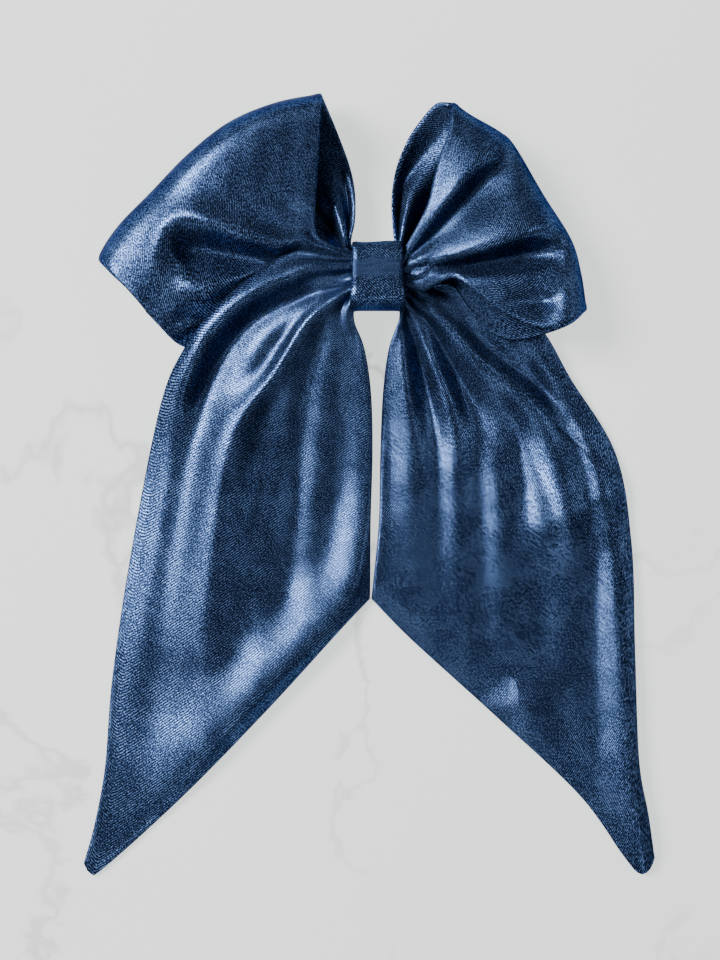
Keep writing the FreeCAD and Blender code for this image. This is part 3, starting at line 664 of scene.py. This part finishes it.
# --- the knot --------------------------------------------------------------------------------------
def knot_band(material):
    """The wrap round the gathers: a closed band, fullest low on its front, with slightly drawn-in edges."""
    low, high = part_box("knot_wrap")
    half_width, half_height = high[0] / MM, high[2] / MM
    back, front = BACK_Y - high[1] / MM, BACK_Y - low[1] / MM
    thick, rows, clearance = 1.1, 150, 0.2
    top = half_height - thick / 2 - clearance
    # Each point is a share of the half height, and a depth, from the top of the front round the back.
    outline = [(0.45, front + 0.3), (0.85, front - 0.9), (1, front - 4)]
    outline += [(1, back + 5), (0.86, back + 0.9), (0.4, back + 0.7)]
    outline += [(-0.4, back + 0.7), (-0.86, back + 0.9), (-1, back + 5), (-1, front - 4),
                (-0.86, front + 0.9)]
    outline += [(-0.66, front + 2.6), (-0.42, front + 2.4), (-0.05, front + 0.9)]
    overlap = 2 * CURVE_STEPS
    ring = dense(outline[-2:] + outline + outline[:2])[overlap:-overlap] * (top, 1)
    length = np.concatenate([[0], np.cumsum(np.hypot(*np.diff(ring, axis=0).T))])
    steps = np.linspace(0, length[-1], rows, endpoint=False)
    z, depth = (np.interp(steps, length, column)[:, None] for column in ring.T)
    v = stations(2 * half_width, 0.4)
    across = (2 * v - 1)[None]
    front_starts, front_full = 15, 23
    on_front = np.clip((depth - front_starts) / (front_full - front_starts), 0, 1)
    drawn_in = 1 - 0.05 * np.clip(z / half_height, -1, 1) - 0.06 * on_front * np.cos(1.6 * z / half_height)
    crease = 0.05 * np.cos(5 * across + 0.6 * z) * on_front
    depth = depth + on_front * (-0.8 * across**6 + crease)
    x = half_width * across * drawn_in
    z = z + 0.3 * on_front * np.sin(3 * across)
    middle = np.stack(np.broadcast_arrays(x, BACK_Y - depth, z), axis=-1) * MM
    flat = np.stack(np.broadcast_arrays(steps[:, None], v[None] * 2 * half_width), axis=-1)
    piece = cloth("knot_band", middle, flat, material, thick=thick, ring=True)
    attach(piece, "bow")
    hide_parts("knot_wrap")


def gathers(material):
    """The pleated middle of the strip, fullest inside the knot."""
    low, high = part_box("gathered_center")
    half_height = (high[2] - low[2]) / 2 / MM
    half_depth = (high[1] - low[1]) / 2 / MM
    centre = BACK_Y - (high[1] + low[1]) / 2 / MM
    turns, steps = 120, 25
    half_length, pleat_count, filled, uv_per_turn = 9.5, 22, 0.96, 8
    angle = np.linspace(0, 2 * math.pi, turns, endpoint=False)
    along = np.linspace(-1, 1, steps)
    points, uv = [], []
    for s in along:
        for a in angle:
            pleat = 1 + 0.07 * math.cos(pleat_count * a + 0.8 * math.sin(3 * a)) - 0.12 * s * s
            z = half_height * filled * pleat * math.sin(a)
            depth = centre + half_depth * filled * pleat * math.cos(a)
            points.append((s * half_length * MM, (BACK_Y - depth) * MM, z * MM))
            uv.append((s * half_length * MM * UV_SCALE, a * uv_per_turn * MM * UV_SCALE))
    faces = []
    for i in range(steps - 1):
        for j in range(turns):
            k = (j + 1) % turns
            faces.append([i * turns + j, i * turns + k, (i + 1) * turns + k, (i + 1) * turns + j])
    faces.append(list(range(turns)))
    faces.append([(steps - 1) * turns + j for j in reversed(range(turns))])
    uvs = [uv[index] for face in faces for index in face]
    piece = mesh_object("gathers", points, faces, uvs, material)
    drop_unused(piece)
    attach(piece, "bow")
    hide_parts("gathered_center")


def lap(material):
    """The wrap's finished end, turned under and sewn down behind the knot."""
    low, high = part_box("wrap_lap")
    width, height = (high[0] - low[0]) / MM, (high[2] - low[2]) / MM
    u, v = stations(height, 0.5), stations(width, 0.6)
    z = low[2] / MM + u[:, None] * height
    x = low[0] / MM + v[None] * width
    inset, ripple, ripples = 0.36, 0.12, 5
    y = high[1] / MM - inset - ripple * np.sin(ripples * math.pi * v[None]) * u[:, None]
    middle = np.stack(np.broadcast_arrays(x, y, z), axis=-1) * MM
    flat = np.stack(np.broadcast_arrays(u[:, None] * height, v[None] * width), axis=-1)
    piece = cloth("lap_cloth", middle, flat, material, thick=0.6)
    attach(piece, "bow")
    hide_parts("wrap_lap")


# --- the barrette and the sewing, which keep their CAD shapes --------------------------------------
def dress_nodes():
    """Gives each node that keeps its CAD shape its material."""
    finishes = {
        "gathering_thread": thread_material(),
        "wrap_stitches": thread_material(),
        "felt_pad": felt_material(),
    }
    nickel = plated(
        "nickel",
        bright=(0.78, 0.76, 0.72),
        dull=(0.6, 0.58, 0.55),
        roughness=(0.16, 0.3),
        stretch=(500, 6000, 9000),
    )
    spring = plated(
        "spring_steel",
        bright=(0.52, 0.52, 0.53),
        dull=(0.38, 0.38, 0.4),
        roughness=(0.26, 0.42),
        stretch=(300, 9000, 9000),
    )
    turned = plated(
        "pin_steel",
        bright=(0.66, 0.65, 0.63),
        dull=(0.5, 0.49, 0.47),
        roughness=(0.2, 0.34),
        stretch=(5000, 5000, 900),
    )
    finishes.update({name: nickel for name in ("barrette_base", "clasp_arm", "catch_bracket")})
    finishes.update({name: spring for name in ("tension_bar", "upper_release_tab", "lower_release_tab")})
    finishes.update({name: turned for name in ("hinge_pin", "catch_rivet")})
    for node, material in finishes.items():
        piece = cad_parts[node]
        piece.data.materials.clear()
        piece.data.materials.append(material)


# --- the setting -----------------------------------------------------------------------------------
def sheet_behind():
    """The pale stone that the bow lies on. It is clear from behind, so that the back can be seen."""
    half, gap = 0.34, 0.0003
    x, z = VIEW_X * MM, VIEW_Z * MM
    y = BACK_Y * MM + gap
    mesh = bpy.data.meshes.new("surface")
    left, right, low, high = x - half, x + half, z - half, z + half
    corners = [(left, y, low), (right, y, low), (right, y, high), (left, y, high)]
    mesh.from_pydata(corners, [], [(0, 1, 2, 3)])
    n = Nodes("pale_surface")
    place = n.add("ShaderNodeTexCoord").outputs["Object"]
    crack = n.add("ShaderNodeTexNoise", Vector=place, Scale=3.4, Detail=7.0, Roughness=0.58, Distortion=0.5)
    line = n.math("ABSOLUTE", n.math("SUBTRACT", crack.outputs[0], 0.56))
    vein = n.add("ShaderNodeMapRange", Value=line, From_Min=0.0, From_Max=0.009, To_Min=1.0, To_Max=0.0)
    cloud = n.add("ShaderNodeTexNoise", Vector=place, Scale=5.0, Detail=3.0, Roughness=0.5).outputs[0]
    strong = n.add("ShaderNodeMapRange", Value=cloud, From_Min=0.42, From_Max=0.62, To_Min=0.0, To_Max=0.45)
    dimmed = n.math("MULTIPLY", vein.outputs[0], strong.outputs[0])
    shade = n.math("ADD", n.math("SUBTRACT", 1.06, dimmed), n.math("MULTIPLY", cloud, 0.16))
    scaled = {"operation": "SCALE"}
    glow = n.add("ShaderNodeVectorMath", scaled, Vector=(0.96, 1.0, 0.985), Scale=shade).outputs[0]
    n.set(Base_Color=(0.3, 0.305, 0.305, 1.0), Roughness=0.6, Specular_IOR_Level=0.2)
    n.set(Emission_Color=glow, Emission_Strength=1.05)
    clear = n.add("ShaderNodeBsdfTransparent").outputs[0]
    behind = n.add("ShaderNodeNewGeometry").outputs["Backfacing"]
    shadow = n.add("ShaderNodeLightPath").outputs["Is Shadow Ray"]
    either = n.math("MAXIMUM", behind, shadow)
    mix = n.add("ShaderNodeMixShader", Fac=either)
    n.put(mix.inputs[1], n.shader.outputs[0])
    n.put(mix.inputs[2], clear)
    n.put(n.tree.nodes["Material Output"].inputs[0], mix.outputs[0])
    mesh.materials.append(n.material)
    surface = bpy.data.objects.new("surface", mesh)
    bpy.context.scene.collection.objects.link(surface)


def area_light(name, place, size, power, color=(1, 1, 1)):
    """A rectangular light that faces the middle of the bow. place is in metres, and power in watts."""
    data = bpy.data.lights.new(name, "AREA")
    data.shape = "RECTANGLE"
    data.size, data.size_y = size
    data.energy = power
    data.color = color
    light = bpy.data.objects.new(name, data)
    target = Vector((VIEW_X, 0, VIEW_Z)) * MM
    light.location = Vector(place)
    light.rotation_euler = (target - light.location).to_track_quat("-Z", "Y").to_euler()
    bpy.context.scene.collection.objects.link(light)


def light_the_scene():
    """One warm key from the upper left, two faint fills, a light for the back, and a dim sky."""
    area_light("key", place=(-0.92, -1.1, 0.34), size=(0.6, 0.6), power=56, color=(1.0, 0.99, 0.97))
    area_light("low", place=(0.15, -1.0, -1.15), size=(0.8, 0.5), power=3)
    area_light("side", place=(1.1, -0.9, 0.15), size=(0.5, 0.8), power=3)
    area_light("rear", place=(0.2, 1.3, 0.6), size=(1.0, 0.8), power=15)
    world = bpy.data.worlds.new("world")
    bpy.context.scene.world = world
    world.use_nodes = True
    sky = world.node_tree.nodes["Background"]
    sky.inputs["Color"].default_value = (0.86, 0.9, 0.94, 1.0)
    sky.inputs["Strength"].default_value = 0.12


make_camera()
cloth_material = satin()
left_tail(cloth_material)
right_tail(cloth_material)
left_loop(cloth_material)
right_loop(cloth_material)
knot_band(cloth_material)
gathers(cloth_material)
lap(cloth_material)
dress_nodes()
sheet_behind()
light_the_scene()
